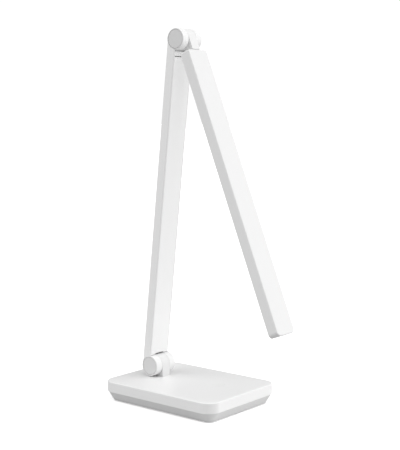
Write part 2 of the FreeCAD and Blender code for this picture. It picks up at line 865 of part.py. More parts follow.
def knuckle_screws():
    """Screws that hold the foot to the outer wall of the head."""
    seat = -head_outer + head_wall + knuckle_foot_thickness
    screws = []
    for x, z in knuckle_screw_places():
        head = Part.makeCylinder(knuckle_screw_head_radius, knuckle_screw_head_height,
                                 Vec(x, seat, z), Vec(0, 1, 0))
        shank = Part.makeCylinder(knuckle_screw_radius, knuckle_foot_thickness,
                                  Vec(x, seat - knuckle_foot_thickness, z), Vec(0, 1, 0))
        screws.append(tidy(head.fuse(shank)))
    return Part.makeCompound(screws)


def head_lead():
    """Lead from the knuckle's neck to the LED board."""
    y = -head_outer + head_wall + knuckle_foot_thickness + lead_radius + lead_notch
    low = led_board_limits()[1]
    return Part.makeCylinder(lead_radius, neck_low - lead_notch - low, Vec(0, y, low), Vec(0, 0, 1))


# ---- assembly ----

def stand_stem(shape):
    """Lean the upright stem forward about the lower hinge."""
    shape.rotate(Vec(0, 0, 0), Vec(1, 0, 0), stem_lean)
    shape.translate(Vec(0, hinge_y, hinge_z))
    return shape


def hang_head(shape):
    """Swing the hanging head forward about the upper hinge."""
    lean = math.radians(stem_lean)
    shape.rotate(Vec(0, 0, 0), Vec(1, 0, 0), -head_swing)
    shape.translate(Vec(0, hinge_y - stem_length * math.sin(lean),
                        hinge_z + stem_length * math.cos(lean)))
    return shape


def base_pieces():
    pads, front, centre = foot_shapes(0.0)
    return {
        "base_top_shell": base_top_shell(),
        "base_bottom_shell": base_bottom_shell(),
        "corner_feet": Part.makeCompound(pads),
        "front_foot": front,
        "centre_pad": centre,
        "base_screws": base_screws(),
        "ballast_plate": ballast_plate(),
        "ballast_retainers": ballast_retainers(),
        "battery_cells": battery_cells(),
        "battery_strap": battery_strap(),
        "main_board": main_board(),
        "board_parts": board_parts(),
        "board_screws": board_screws(),
        "charging_board": charging_board(),
        "charging_socket": charging_socket(),
        "touch_key": touch_key(),
        "touch_board": touch_board(),
        "hinge_post": hinge_post(),
        "hinge_post_screws": hinge_post_screws(),
    }


def stem_pieces():
    pieces = {
        "stem_channel": stem_channel(),
        "stem_front_cover": stem_front_cover(),
        "stem_lead": stem_lead(),
    }
    for end, z in (("lower", 0.0), ("upper", stem_length)):
        pieces[end + "_hinge_shaft"] = hinge_shaft(z)
        pieces[end + "_hinge_washers"] = hinge_washers(z)
        pieces[end + "_hinge_nut"] = hinge_nut(z)
        pieces[end + "_hinge_caps"] = hinge_caps(z)
    return {name: stand_stem(shape) for name, shape in pieces.items()}


def head_pieces():
    pieces = {
        "head_shell": head_shell(),
        "head_inner_cover": head_inner_cover(),
        "head_knuckle": head_knuckle(),
        "knuckle_screws": knuckle_screws(),
        "led_board": led_board(),
        "led_chips": led_chips(),
        "diffuser": diffuser(),
        "head_lead": head_lead(),
    }
    return {name: hang_head(shape) for name, shape in pieces.items()}


os.makedirs("parts", exist_ok=True)
lamp = {**base_pieces(), **stem_pieces(), **head_pieces()}
for name, shape in lamp.items():
    shape.exportStep(os.path.join("parts", name + ".step"))
    print(name, "solids", len(shape.Solids), "volume", round(shape.Volume / 1000, 2), "cm3",
          "valid", shape.isValid())
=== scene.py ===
import json
import bmesh
import bpy
from math import atan2, cos, radians, sin
from mathutils import Matrix, Vector


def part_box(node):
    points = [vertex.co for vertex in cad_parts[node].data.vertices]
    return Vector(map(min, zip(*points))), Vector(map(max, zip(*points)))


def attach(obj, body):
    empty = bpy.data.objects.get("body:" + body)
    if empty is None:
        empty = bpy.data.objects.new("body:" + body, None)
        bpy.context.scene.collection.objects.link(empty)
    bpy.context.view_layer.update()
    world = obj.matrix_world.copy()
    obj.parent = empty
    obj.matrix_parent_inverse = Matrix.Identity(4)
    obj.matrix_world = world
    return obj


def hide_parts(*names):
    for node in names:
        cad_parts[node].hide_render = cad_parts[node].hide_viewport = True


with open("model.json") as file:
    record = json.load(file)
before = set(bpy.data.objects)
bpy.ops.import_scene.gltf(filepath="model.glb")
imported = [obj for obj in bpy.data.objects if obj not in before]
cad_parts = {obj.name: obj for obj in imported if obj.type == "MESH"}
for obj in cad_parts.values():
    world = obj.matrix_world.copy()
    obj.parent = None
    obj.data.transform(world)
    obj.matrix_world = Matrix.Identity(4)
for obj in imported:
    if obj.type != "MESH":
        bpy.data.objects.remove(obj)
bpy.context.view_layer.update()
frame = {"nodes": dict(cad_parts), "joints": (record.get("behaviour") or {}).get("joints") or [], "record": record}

mm = 0.001

# places read from the frame: the two hinge axes and how the stem and head lean at rest
joints = {joint["name"]: joint for joint in frame["joints"]}
lowerAxis = Vector(joints["stem_fold"]["pos_m"])
upperAxis = Vector(joints["head_fold"]["pos_m"])
stemLength = (upperAxis - lowerAxis).length
stemLean = atan2(lowerAxis.y - upperAxis.y, upperAxis.z - lowerAxis.z)
headSwing = radians(-joints["head_fold"]["range_deg"][0]) - stemLean
atBase = Matrix.Identity(4)
atStem = Matrix.Translation(lowerAxis) @ Matrix.Rotation(stemLean, 4, "X")
atHead = Matrix.Translation(upperAxis) @ Matrix.Rotation(-headSwing, 4, "X")
far = 40 * mm       # a cutting tool runs this far past the piece it opens
near = 1e-6         # two places closer than this are the same
meet = 1e-5         # a cutting tool overlaps the next one by this much
weld = 3e-6         # points closer than this become one after a boolean
sharpAngle, softAngle = radians(30), radians(40)
grainDepth = 0.05 * mm
coarse, medium, fine, finest = 32, 48, 96, 128    # steps round a turned piece


def both(limit):
    return (-limit, limit)


def around(middle, span):
    return (middle - span / 2, middle + span / 2)


def cornersAt(x, y):
    return [(sideX * x, sideY * y) for sideX in (-1, 1) for sideY in (-1, 1)]


def blockMesh(x, y, z):
    # plain block between limits, the start for bevels and cuts
    low, high = Vector((x[0], y[0], z[0])), Vector((x[1], y[1], z[1]))
    bm = bmesh.new()
    bmesh.ops.create_cube(bm, size=1)
    bmesh.ops.scale(bm, vec=high - low, verts=bm.verts)
    bmesh.ops.translate(bm, vec=(low + high) / 2, verts=bm.verts)
    return bm


def edgesAlong(bm, axis, test=None):
    found = []
    for edge in bm.edges:
        direction = (edge.verts[0].co - edge.verts[1].co).normalized()
        middle = (edge.verts[0].co + edge.verts[1].co) / 2
        if abs(direction[axis]) > 0.999 and (test is None or test(middle)):
            found.append(edge)
    return found


def edgesOn(bm, axis, level):
    # edges whose two ends lie in one plane
    return [e for e in bm.edges if all(abs(v.co[axis] - level) < near for v in e.verts)]


def roundEdges(bm, edges, radius, segments=6):
    bmesh.ops.bevel(bm, geom=edges, offset=radius, offset_type="OFFSET", segments=segments,
                    profile=0.5, affect="EDGES", material=-1, clamp_overlap=True)
    return bm


def roundedBlock(x, y, z, corner, steps=12, axis=2):
    # block with the four edges along one axis rounded
    bm = blockMesh(x, y, z)
    return roundEdges(bm, edgesAlong(bm, axis), corner, steps)


def lathe(points, centre=(0, 0, 0), steps=fine):
    # points are (along X, radius) from one end of the axis to the other
    bm = bmesh.new()
    verts = [bm.verts.new((x, 0, r)) for x, r in points]
    edges = [bm.edges.new(ends) for ends in zip(verts, verts[1:])]
    bmesh.ops.spin(bm, geom=verts + edges, axis=(1, 0, 0), cent=(0, 0, 0), angle=radians(360),
                   steps=steps, use_merge=True)
    bmesh.ops.remove_doubles(bm, verts=bm.verts, dist=1e-7)
    bmesh.ops.recalc_face_normals(bm, faces=bm.faces)
    bmesh.ops.translate(bm, vec=centre, verts=bm.verts)
    return bm


def rod(radius, x, centre=(0, 0, 0), steps=fine):
    return lathe([(x[0], 0), (x[0], radius), (x[1], radius), (x[1], 0)], centre, steps)


def upright(bm, x, y):
    # turns a lathe piece from the X axis to the Z axis, over one place of the base
    turn = Matrix.Rotation(radians(-90), 3, "Y")
    bmesh.ops.rotate(bm, cent=(0, 0, 0), matrix=turn, verts=bm.verts)
    bmesh.ops.translate(bm, vec=(x, y, 0), verts=bm.verts)
    return bm


def post(radius, z, x, y, steps=medium):
    return upright(rod(radius, z, steps=steps), x, y)


def roundedEnd(x, radius, edge, outward, steps=6):
    # profile points of a disc end at x whose rim has a quarter round, from its side inwards
    points = []
    for step in range(steps + 1):
        angle = radians(90) * step / steps
        points.append((x - outward * edge * (1 - sin(angle)), radius - edge * (1 - cos(angle))))
    return points


def mirrored(bm):
    # the same piece on the other side of the middle plane, faces turned back out
    copy = bm.copy()
    bmesh.ops.scale(copy, vec=(-1, 1, 1), verts=copy.verts)
    bmesh.ops.reverse_faces(copy, faces=copy.faces)
    return copy


def joined(meshes):
    whole = bmesh.new()
    for bm in meshes:
        part = bpy.data.meshes.new("part")
        bm.to_mesh(part)
        whole.from_mesh(part)
        bpy.data.meshes.remove(part)
        bm.free()
    return whole


def toObject(name, bm):
    mesh = bpy.data.meshes.new(name)
    bm.to_mesh(mesh)
    bm.free()
    piece = bpy.data.objects.new(name, mesh)
    bpy.context.scene.collection.objects.link(piece)
    return piece


def toMesh(piece):
    # the mesh of a helper object, which is then removed
    bm = bmesh.new()
    bm.from_mesh(piece.data)
    mesh = piece.data
    bpy.data.objects.remove(piece)
    bpy.data.meshes.remove(mesh)
    return bm


def healed(mesh):
    # closes the hairline slits that a boolean leaves
    bm = bmesh.new()
    bm.from_mesh(mesh)
    bmesh.ops.remove_doubles(bm, verts=bm.verts, dist=weld)
    bmesh.ops.dissolve_degenerate(bm, edges=bm.edges, dist=near)
    bmesh.ops.holes_fill(bm, edges=[e for e in bm.edges if e.is_boundary])
    bmesh.ops.recalc_face_normals(bm, faces=bm.faces)
    bm.to_mesh(mesh)
    bm.free()
    return mesh


def combine(piece, tools, operation):
    # exact boolean with each tool in turn, its result kept as the mesh
    helpers = [toObject("tool", bm) for bm in tools]
    for helper in helpers:
        step = piece.modifiers.new("step", "BOOLEAN")
        step.operation = operation
        step.solver = "EXACT"
        step.object = helper
    bpy.context.view_layer.update()
    shaped = piece.evaluated_get(bpy.context.evaluated_depsgraph_get())
    mesh = healed(bpy.data.meshes.new_from_object(shaped))
    piece.modifiers.clear()
    old = piece.data
    piece.data = mesh
    bpy.data.meshes.remove(old)
    mesh.name = piece.name
    for helper in helpers:
        toMesh(helper).free()


def cut(piece, tools):
    combine(piece, tools, "DIFFERENCE")


def fuse(piece, tools):
    combine(piece, tools, "UNION")


def finishPiece(piece, body, slot, replaced, place=atBase, edge=0.15 * mm):
    # place in the mesh, soft edges, smooth faces, and its body, slot and CAD nodes
    piece.data.transform(place)
    piece.data.shade_smooth()
    piece.data.set_sharp_from_angle(angle=sharpAngle)
    if edge:
        soften = piece.modifiers.new("soften", "BEVEL")
        soften.width = edge
        soften.segments = 2
        soften.limit_method = "ANGLE"
        soften.angle_limit = softAngle
        soften.use_clamp_overlap = True
    even = piece.modifiers.new("even", "WEIGHTED_NORMAL")
    even.keep_sharp = True
    piece.data.materials.clear()
    piece.data.materials.append(materials[slot])
    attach(piece, body)
    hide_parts(*replaced)


def addNode(tree, kind, **values):
    node = tree.nodes.new(kind)
    for key, value in values.items():
        setattr(node, key, value)
    return node


def makeMouldGroup():
    # fine moulded grain, with slow drifts of tone and gloss over the surface
    group = bpy.data.node_groups.new("mouldedSurface", "ShaderNodeTree")
    inputs = (("Light Tone", "NodeSocketColor", (0.8, 0.8, 0.8, 1)),
              ("Dark Tone", "NodeSocketColor", (0.7, 0.7, 0.7, 1)),
              ("Low Roughness", "NodeSocketFloat", 0.35),
              ("High Roughness", "NodeSocketFloat", 0.5),
              ("Grain Scale", "NodeSocketFloat", 3000.0),
              ("Drift Scale", "NodeSocketFloat", 30.0))
    for name, kind, value in inputs:
        point = group.interface.new_socket(name=name, in_out="INPUT", socket_type=kind)
        point.default_value = value
    for name, kind in (("Color", "NodeSocketColor"), ("Roughness", "NodeSocketFloat"),
                       ("Height", "NodeSocketFloat")):
        group.interface.new_socket(name=name, in_out="OUTPUT", socket_type=kind)
    link = group.links.new
    start = addNode(group, "NodeGroupInput")
    end = addNode(group, "NodeGroupOutput")
    place = addNode(group, "ShaderNodeTexCoord")
    grain = addNode(group, "ShaderNodeTexNoise")
    grain.inputs["Detail"].default_value = 3
    drift = addNode(group, "ShaderNodeTexNoise")
    drift.inputs["Detail"].default_value = 4
    for texture, scale in ((grain, "Grain Scale"), (drift, "Drift Scale")):
        link(place.outputs["Object"], texture.inputs["Vector"])
        link(start.outputs[scale], texture.inputs["Scale"])
    tone = addNode(group, "ShaderNodeMix", data_type="RGBA")
    link(drift.outputs["Fac"], tone.inputs["Factor"])
    link(start.outputs["Dark Tone"], tone.inputs["A"])
    link(start.outputs["Light Tone"], tone.inputs["B"])
    gloss = addNode(group, "ShaderNodeMapRange")
    link(grain.outputs["Fac"], gloss.inputs["Value"])
    link(start.outputs["Low Roughness"], gloss.inputs["To Min"])
    link(start.outputs["High Roughness"], gloss.inputs["To Max"])
    link(tone.outputs["Result"], end.inputs["Color"])
    link(gloss.outputs["Result"], end.inputs["Roughness"])
    link(grain.outputs["Fac"], end.inputs["Height"])
    return group


def mouldedMaterial(name, look):
    material = bpy.data.materials.new(name)
    material.use_nodes = True
    tree = material.node_tree
    shader = tree.nodes["Principled BSDF"]
    surface = addNode(tree, "ShaderNodeGroup", node_tree=mouldGroup)
    tone = look["tone"]
    dark = [channel * look.get("drift", 0.985) for channel in tone]
    surface.inputs["Light Tone"].default_value = (*tone, 1)
    surface.inputs["Dark Tone"].default_value = (*dark, 1)
    surface.inputs["Low Roughness"].default_value = look["rough"][0]
    surface.inputs["High Roughness"].default_value = look["rough"][1]
    surface.inputs["Grain Scale"].default_value = look.get("grain", 2500)
    surface.inputs["Drift Scale"].default_value = look.get("driftScale", 25)
    bump = addNode(tree, "ShaderNodeBump")
    bump.inputs["Strength"].default_value = look.get("bump", 0.15)
    bump.inputs["Distance"].default_value = grainDepth
    tree.links.new(surface.outputs["Color"], shader.inputs["Base Color"])
    tree.links.new(surface.outputs["Roughness"], shader.inputs["Roughness"])
    tree.links.new(surface.outputs["Height"], bump.inputs["Height"])
    tree.links.new(bump.outputs["Normal"], shader.inputs["Normal"])
    shader.inputs["Metallic"].default_value = look.get("metal", 0)
    shader.inputs["Specular IOR Level"].default_value = look.get("shine", 0.5)
    return material


looks = {
    "shell_white": {"tone": (0.8, 0.8, 0.8), "rough": (0.3, 0.38), "bump": 0.06, "shine": 0.4},
    "stem_white": {"tone": (0.8, 0.8, 0.8), "rough": (0.5, 0.62), "shine": 0.3},
    # painted shade: the head, its knuckle and the hinge post are the same white plastic as the stem and shells,
    # given a darker tone (0.735 against 0.8) that stands in for the shade the lights leave on the head's side
    "head_white": {"tone": (0.735, 0.735, 0.735), "rough": (0.5, 0.62), "shine": 0.3},
    "hinge_white": {"tone": (0.735, 0.735, 0.735), "rough": (0.5, 0.6), "bump": 0.1, "shine": 0.3},
    "cap_white": {"tone": (0.65, 0.65, 0.65), "rough": (0.4, 0.5), "shine": 0.4},
    "touch_white": {"tone": (0.785, 0.785, 0.785), "rough": (0.32, 0.38), "bump": 0.03,
                    "shine": 0.4},
    "foot_rubber": {"tone": (0.55, 0.55, 0.55), "rough": (0.7, 0.85), "bump": 0.3, "grain": 1200},
    "steel_plate": {"tone": (0.42, 0.42, 0.43), "rough": (0.35, 0.6), "metal": 1, "grain": 700},
    "screw_steel": {"tone": (0.5, 0.5, 0.5), "rough": (0.25, 0.4), "metal": 1, "grain": 1500},
    "shaft_steel": {"tone": (0.55, 0.55, 0.56), "rough": (0.2, 0.35), "metal": 1, "grain": 1800},
    "socket_steel": {"tone": (0.65, 0.65, 0.67), "rough": (0.15, 0.28), "metal": 1},
    "board_green": {"tone": (0.03, 0.19, 0.08), "rough": (0.3, 0.45), "drift": 0.7,
                    "driftScale": 400},
    "chip_black": {"tone": (0.035, 0.035, 0.037), "rough": (0.45, 0.6), "drift": 0.7},
    "cell_silver": {"tone": (0.6, 0.6, 0.62), "rough": (0.25, 0.45), "metal": 1, "grain": 400},
    "strap_grey": {"tone": (0.22, 0.22, 0.23), "rough": (0.5, 0.6)},
    "led_board_white": {"tone": (0.82, 0.82, 0.8), "rough": (0.4, 0.5)},
    "led_yellow": {"tone": (0.85, 0.65, 0.15), "rough": (0.3, 0.4), "drift": 0.9},
    "diffuser_opal": {"tone": (0.82, 0.82, 0.81), "rough": (0.25, 0.32), "bump": 0.02},
    "lead_black": {"tone": (0.04, 0.04, 0.04), "rough": (0.5, 0.65), "grain": 900},
}
mouldGroup = makeMouldGroup()
materials = {slot: mouldedMaterial(slot, look) for slot, look in looks.items()}
for part in frame["record"]["subparts"]:
    node = frame["nodes"][part["node"]]
    node.data.materials.clear()
    node.data.materials.append(materials[part["material_slot"]])
print("materials:", len(materials))


# base: top shell, pan, feet, touch key, socket and hinge post
base = {
    "wall": 2 * mm, "corner": 15 * mm, "cornerSteps": 20, "topRound": 1.5 * mm, "gap": 0.15 * mm,
    "skirtInset": 7 * mm, "skirtStep": 0.5 * mm, "lipWall": 1.4 * mm, "boss": 4 * mm,
    "screwHole": 1.7 * mm, "screwHead": 2.9 * mm, "screwSink": 3 * mm, "foot": 6 * mm,
    "peg": 2 * mm, "pegInset": 6 * mm, "boardPost": 3 * mm, "boardScrewHead": 2 * mm,
    "slotDepth": 5 * mm, "panRound": 0.4 * mm, "lipNotch": 11 * mm, "lipNotchDepth": 8 * mm,
    "screwGap": 0.2 * mm, "padRound": 0.3 * mm, "ovalShare": 0.999,
}
pads = (("frontFoot", "front_foot", 1.5 * mm), ("centrePad", "centre_pad", 10 * mm))
topLow, topHigh = (Vector(c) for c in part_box("base_top_shell"))
panLow, panHigh = (Vector(c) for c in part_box("base_bottom_shell"))
screwHigh = Vector(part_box("base_screws")[1])
screwPlaces = cornersAt(screwHigh.x - base["screwHead"], screwHigh.y - base["screwHead"])


def middleOf(name):
    low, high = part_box(name)
    return (Vector(low) + Vector(high)) / 2


def insideOf(z, inset):
    # rounded block inside the base outline, drawn in by inset
    x, y = (topLow.x + inset, topHigh.x - inset), (topLow.y + inset, topHigh.y - inset)
    return roundedBlock(x, y, z, base["corner"] - inset, base["cornerSteps"])


def socketShape(spare, y):
    # flat oval bar across the rear wall, around the charging socket
    low, high = (Vector(c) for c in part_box("charging_socket"))
    return roundedBlock((low.x - spare, high.x + spare), y, (low.z - spare, high.z + spare),
                        ((high.z - low.z) / 2 + spare) * base["ovalShare"], 12, axis=1)


def makeBaseTop():
    gap, wall = base["gap"], base["wall"]
    bm = insideOf((topLow.z, topHigh.z), 0)
    roundEdges(bm, edgesOn(bm, 2, topHigh.z), base["topRound"], 8)
    piece = toObject("baseTop", bm)
    cut(piece, [insideOf((topLow.z - far, topHigh.z - wall), wall)])
    fuse(piece, [post(base["boss"], (topLow.z + gap, topHigh.z - wall / 2), x, y)
                 for x, y in screwPlaces])
    half, radius = hinge["tongue"] / 2 + gap, hinge["radius"] + gap
    key, keyHigh = middleOf("touch_key"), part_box("touch_key")[1]
    tools = [
        blockMesh(both(half), around(lowerAxis.y, 2 * radius),
                  (topHigh.z - base["slotDepth"], topHigh.z + far)),
        post(keyHigh[0] - key.x + gap, (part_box("touch_key")[0][2], topHigh.z + far),
             key.x, key.y, fine),
        socketShape(gap, (topHigh.y - 2 * wall, topHigh.y + far))]
    tools += [post(base["screwHole"], (topLow.z - far, topHigh.z - wall), x, y, coarse)
              for x, y in screwPlaces]
    cut(piece, tools)
    finishPiece(piece, "base", "shell_white", ["base_top_shell"])


def taperedBlock(inset, z):
    # rounded block whose lower outline is drawn in, its corners sharing their centres
    x, y = (panLow.x + inset, panHigh.x - inset), (panLow.y + inset, panHigh.y - inset)
    corner = base["corner"] - base["skirtStep"] - inset
    bm = roundedBlock(x, y, z, corner, base["cornerSteps"])
    for vert in bm.verts:
        if vert.co.z < sum(z) / 2:
            centre = Vector((max(x[0] + corner, min(x[1] - corner, vert.co.x)),
                             max(y[0] + corner, min(y[1] - corner, vert.co.y))))
            inward = (vert.co.xy - centre).normalized() * (base["skirtInset"] - base["skirtStep"])
            vert.co.x -= inward.x
            vert.co.y -= inward.y
    return bm


def makeBasePan():
    gap, wall = base["gap"], base["wall"]
    bm = taperedBlock(0, (panLow.z, topLow.z))
    roundEdges(bm, edgesOn(bm, 2, panLow.z), base["panRound"], 4)
    piece = toObject("basePan", bm)
    cut(piece, [taperedBlock(wall, (panLow.z + wall, topLow.z))])
    lip = toObject("lip", insideOf((topLow.z - wall, panHigh.z), wall + gap))
    cut(lip, [insideOf((topLow.z - far, panHigh.z + far), wall + gap + base["lipWall"]),
              blockMesh(both(base["lipNotch"]), (topHigh.y - base["lipNotchDepth"], topHigh.y),
                        (topLow.z, topHigh.z))])
    rootZ = panLow.z + wall / 2
    posts = [post(base["boss"], (rootZ, topLow.z), x, y) for x, y in screwPlaces]
    plate, plateHigh = middleOf("ballast_plate"), Vector(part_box("ballast_plate")[1])
    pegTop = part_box("ballast_retainers")[1][2]
    pegX, pegY = plateHigh.x - base["pegInset"], plateHigh.y - plate.y - base["pegInset"]
    posts += [post(base["peg"], (rootZ, pegTop), x, plate.y + y, coarse)
              for x, y in cornersAt(pegX, pegY)]
    screws, screwsHigh = middleOf("board_screws"), Vector(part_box("board_screws")[1])
    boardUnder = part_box("main_board")[0][2]
    for x, y in cornersAt(screwsHigh.x - base["boardScrewHead"],
                          screwsHigh.y - screws.y - base["boardScrewHead"]):
        posts.append(post(base["boardPost"], (rootZ, boardUnder), x, screws.y + y, coarse))
    fuse(piece, [toMesh(lip)] + posts)
    footHigh = Vector(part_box("corner_feet")[1])
    tools = [post(base["foot"] + gap, (-far, footHigh.z), x, y)
             for x, y in cornersAt(footHigh.x - base["foot"], footHigh.y - base["foot"])]
    for name, node, corner in pads:
        low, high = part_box(node)
        tools.append(roundedBlock((low[0] - gap, high[0] + gap), (low[1] - gap, high[1] + gap),
                                  (-far, high[2]), corner + gap, 10))
    for x, y in screwPlaces:
        tools.append(post(base["screwHead"] + base["screwGap"],
                          (-far, panLow.z + base["screwSink"]), x, y))
        tools.append(post(base["screwHole"], (-far, topLow.z + far), x, y, coarse))
    cut(piece, tools)
    finishPiece(piece, "base", "shell_white", ["base_bottom_shell"])


def makeFeet():
    low, high = (Vector(c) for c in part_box("corner_feet"))
    radius = base["foot"]
    rim = roundedEnd(low.z, radius, base["padRound"], -1, 4)[::-1]
    points = [(low.z, 0), *rim, (high.z, radius), (high.z, 0)]
    feet = [upright(lathe(points, steps=64), x, y)
            for x, y in cornersAt(high.x - radius, high.y - radius)]
    finishPiece(toObject("cornerFeet", joined(feet)), "base", "foot_rubber", ["corner_feet"],
                edge=0)
    for name, node, corner in pads:
        low, high = (Vector(c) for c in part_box(node))
        bm = roundedBlock((low.x, high.x), (low.y, high.y), (low.z, high.z), corner, 10)
        roundEdges(bm, edgesOn(bm, 2, low.z), base["padRound"], 3)
        finishPiece(toObject(name, bm), "base", "foot_rubber", [node], edge=0)


def makeTouchKey():
    low, high = (Vector(c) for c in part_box("touch_key"))
    radius = (high.x - low.x) / 2
    rim, dish, edge, rings = 0.5 * mm, 0.35 * mm, 0.15 * mm, 10
    points = [(low.z, 0), (low.z, radius), *roundedEnd(high.z, radius, edge, 1, 3)]
    for ring in range(rings + 1):
        share = 1 - ring / rings
        points.append((high.z - dish * (1 - share ** 2), (radius - rim) * share))
    key = middleOf("touch_key")
    bm = upright(lathe(points), key.x, key.y)
    finishPiece(toObject("touchKey", bm), "base", "touch_white", ["touch_key"], edge=0)


# hinges: barrels, tongues, shafts and caps, modelled about the X axis
hinge = {
    "radius": 11.7 * mm, "tongue": 12.5 * mm, "tongueGap": 0.35 * mm, "forkGap": 0.6 * mm,
    "earFace": 15.8 * mm, "earRound": 0.6 * mm, "earWeb": 3.6 * mm, "shaft": 3 * mm,
    "well": 8.8 * mm, "cap": 10.25 * mm, "capThick": 1.6 * mm, "capRound": 0.35 * mm,
    "skirt": 8.65 * mm, "skirtWall": 0.8 * mm, "skirtDepth": 1.6 * mm, "gap": 0.4 * mm,
    "head": 6.5 * mm, "headThick": 2 * mm, "washerThick": 0.8 * mm, "springRise": 1 * mm,
    "nutThick": 1.6 * mm, "spare": 0.2 * mm, "freeFit": 0.05 * mm, "headRound": 0.4 * mm,
    "threadRound": 0.3 * mm, "flangeThick": 3 * mm, "flangeCorner": 4 * mm, "soft": 0.3 * mm,
}


def tongueMesh(back, low):
    # round eye with a straight body below it, bored for the shaft
    half, radius = hinge["tongue"] / 2, hinge["radius"]
    piece = toObject("tongue", rod(radius, both(half), steps=finest))
    fuse(piece, [blockMesh(both(half), (-radius, back), (low, 0))])
    cut(piece, [rod(hinge["shaft"] + hinge["freeFit"], both(far), steps=64)])
    return toMesh(piece)


def makePost():
    low, high = (Vector(c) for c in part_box("hinge_post"))
    bm = tongueMesh(hinge["radius"], low.z - lowerAxis.z)
    bmesh.ops.translate(bm, vec=lowerAxis, verts=bm.verts)
    piece = toObject("hingePost", bm)
    fuse(piece, [roundedBlock((low.x, high.x), (low.y, high.y),
                              (low.z, low.z + hinge["flangeThick"]), hinge["flangeCorner"], 8)])
    finishPiece(piece, "base", "hinge_white", ["hinge_post"], edge=hinge["soft"])


def makeHingeHardware(end, z):
    h = hinge
    floor = h["tongue"] / 2 + h["tongueGap"] + h["earWeb"]
    threadEnd = floor + h["washerThick"] + h["springRise"] + h["nutThick"] + h["spare"]
    headEnd = -floor - h["headThick"]
    thread = h["threadRound"]
    points = [(headEnd, 0), *roundedEnd(headEnd, h["head"], h["headRound"], -1)[::-1],
              (-floor, h["head"]), (-floor, h["shaft"]), (threadEnd - thread, h["shaft"]),
              (threadEnd, h["shaft"] - thread), (threadEnd, 0)]
    shaft = toObject(end + "HingeShaft", lathe(points, (0, 0, z)))
    finishPiece(shaft, "stem", "shaft_steel", [end + "_hinge_shaft"], atStem, 0)
    seat, grip = h["earFace"] - h["capThick"], h["skirt"] - h["skirtWall"]
    skirtEnd = seat - h["skirtDepth"]
    points = [(seat, 0), (seat, grip), (skirtEnd, grip), (skirtEnd, h["skirt"]),
              (seat, h["skirt"]), (seat, h["cap"]),
              *roundedEnd(h["earFace"], h["cap"], h["capRound"], 1), (h["earFace"], 0)]
    cap = lathe(points, (0, 0, z))
    caps = toObject(end + "HingeCaps", joined([mirrored(cap), cap]))
    finishPiece(caps, "stem", "cap_white", [end + "_hinge_caps"], atStem, 0)


# stem: rear channel with its barrels, and the front cover between its rims
stem = {
    "width": 31 * mm, "setBack": 0.25 * mm, "frontRound": 1.2 * mm, "rearRound": 1.6 * mm,
    "sideWall": 2.2 * mm, "rimWall": 1.4 * mm, "rearWall": 1.6 * mm, "lowerWeb": 16 * mm,
    "cover": 2.4 * mm, "coverLow": 12.4 * mm, "coverHigh": 19.3 * mm, "coverGap": 0.1 * mm,
    "notchWidth": 14 * mm, "notchRise": 1.4 * mm, "bandHigh": 13.7 * mm, "bandLow": 18.5 * mm,
    "neckSink": 0.5 * mm, "neckSlot": 5 * mm, "coverRound": 0.25 * mm, "coverEdge": 0.1 * mm,
    "notchRound": 1 * mm,
}


def earMesh(z):
    h = hinge
    inner = h["tongue"] / 2 + h["tongueGap"]
    points = [(inner, 0), (inner, h["radius"]),
              *roundedEnd(h["earFace"], h["radius"], h["earRound"], 1), (h["earFace"], 0)]
    return lathe(points, (0, 0, z), finest)


def makeStemChannel():
    s, h = stem, hinge
    half, radius, top = s["width"] / 2, h["radius"], stemLength
    bm = blockMesh(both(half), (s["setBack"], radius), (0, top))
    roundEdges(bm, edgesAlong(bm, 2, lambda m: m.y < radius / 2), s["frontRound"], 6)
    roundEdges(bm, edgesAlong(bm, 2, lambda m: m.y > radius - near and abs(m.x) > half - near),
               s["rearRound"], 6)
    piece = toObject("stemChannel", bm)
    inner = h["tongue"] / 2 + h["tongueGap"]
    ears, tools = [], []
    for z in (0, top):
        ear = earMesh(z)
        ears += [mirrored(ear), ear]
        tools.append(rod(radius + h["forkGap"], both(inner), (0, 0, z), finest))
        tools.append(rod(h["shaft"] + h["freeFit"], both(far), (0, 0, z), 64))
        for hole, start in ((h["well"], inner + h["earWeb"]),
                            (h["cap"] + h["gap"], h["earFace"] - h["capThick"])):
            tool = rod(hole, (start, far), (0, 0, z))
            tools += [mirrored(tool), tool]
    fuse(piece, ears)
    rim, inside = half - s["rimWall"], half - s["sideWall"]
    back = s["setBack"] + s["cover"]
    tools.append(blockMesh(both(rim), (-far, back), (s["coverLow"], top - s["coverHigh"])))
    tools.append(blockMesh(both(rim), (0, s["neckSlot"]), (radius, s["coverLow"] + meet)))
    tools.append(blockMesh(both(inside), (-far, radius - s["rearWall"]),
                           (s["lowerWeb"], top - s["bandLow"])))
    tools.append(blockMesh(both(rim), (-far, s["setBack"] + s["neckSink"]),
                           (top - s["coverHigh"] - meet, top - radius)))
    tools.append(blockMesh(both(rim), (0, s["neckSlot"]), (top - s["bandHigh"], top - radius)))
    cut(piece, tools)
    finishPiece(piece, "stem", "stem_white", ["stem_channel"], atStem, 0)


def makeStemCover():
    s = stem
    rim = s["width"] / 2 - s["rimWall"] - s["coverGap"]
    z = (s["coverLow"], stemLength - s["coverHigh"])
    bm = blockMesh(both(rim), (s["setBack"], s["setBack"] + s["cover"]), z)
    roundEdges(bm, edgesOn(bm, 1, s["setBack"]), s["coverRound"], 3)
    piece = toObject("stemFrontCover", bm)
    notch = blockMesh(both(s["notchWidth"] / 2), both(far), (0, z[0] + s["notchRise"]))
    roundEdges(notch, edgesAlong(notch, 1, lambda m: m.z > z[0]), s["notchRound"], 6)
    cut(piece, [notch])
    finishPiece(piece, "stem", "stem_white", ["stem_front_cover"], atStem, s["coverEdge"])


